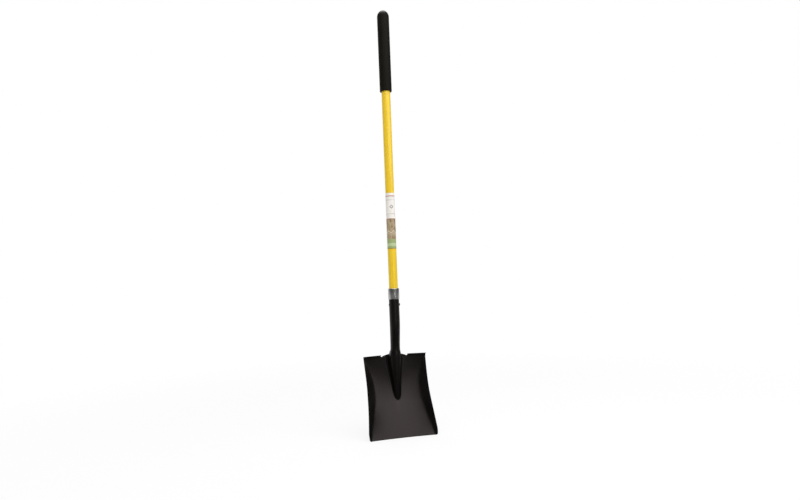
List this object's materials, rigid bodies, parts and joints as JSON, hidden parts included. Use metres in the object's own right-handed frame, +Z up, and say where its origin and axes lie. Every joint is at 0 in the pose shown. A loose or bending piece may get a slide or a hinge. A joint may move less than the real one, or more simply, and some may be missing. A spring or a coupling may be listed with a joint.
{
  "type": "square point shovel",
  "caption": "Long-handled square-mouth shovel: dished steel blade with turned steps and raised rib, riveted socket, plated collar, straight round handle and cushion grip.",
  "frame": {"origin": "middle of the cutting edge, halfway through the sheet", "axes": "+Z up along the handle, -Y is the side that the blade's working face looks to, +X to the right as seen from the working face"},
  "size_m": [0.244, 0.1089, 1.524],
  "materials": {
    "blade_enamel": "satin black baked enamel over stamped carbon steel",
    "collar_plating": "dull zinc plating",
    "rivet_enamel": "satin black enamel",
    "handle_fibreglass": "glossy yellow pultruded fibreglass with fine lengthwise strands",
    "core_wood": "bare turned dowel",
    "plug_plastic": "moulded black plastic",
    "grip_rubber": "matt black cushion sleeve",
    "label_film": "printed wrap-round film in white, tan and green"
  },
  "bodies": {
    "root": {"blade": "blade_enamel", "socket_collar": "collar_plating", "socket_rivet": "rivet_enamel", "handle_tube": "handle_fibreglass", "handle_core": "core_wood", "handle_end_plug": "plug_plastic", "handle_grip": "grip_rubber", "handle_label": "label_film"}
  },
  "joints": []
}
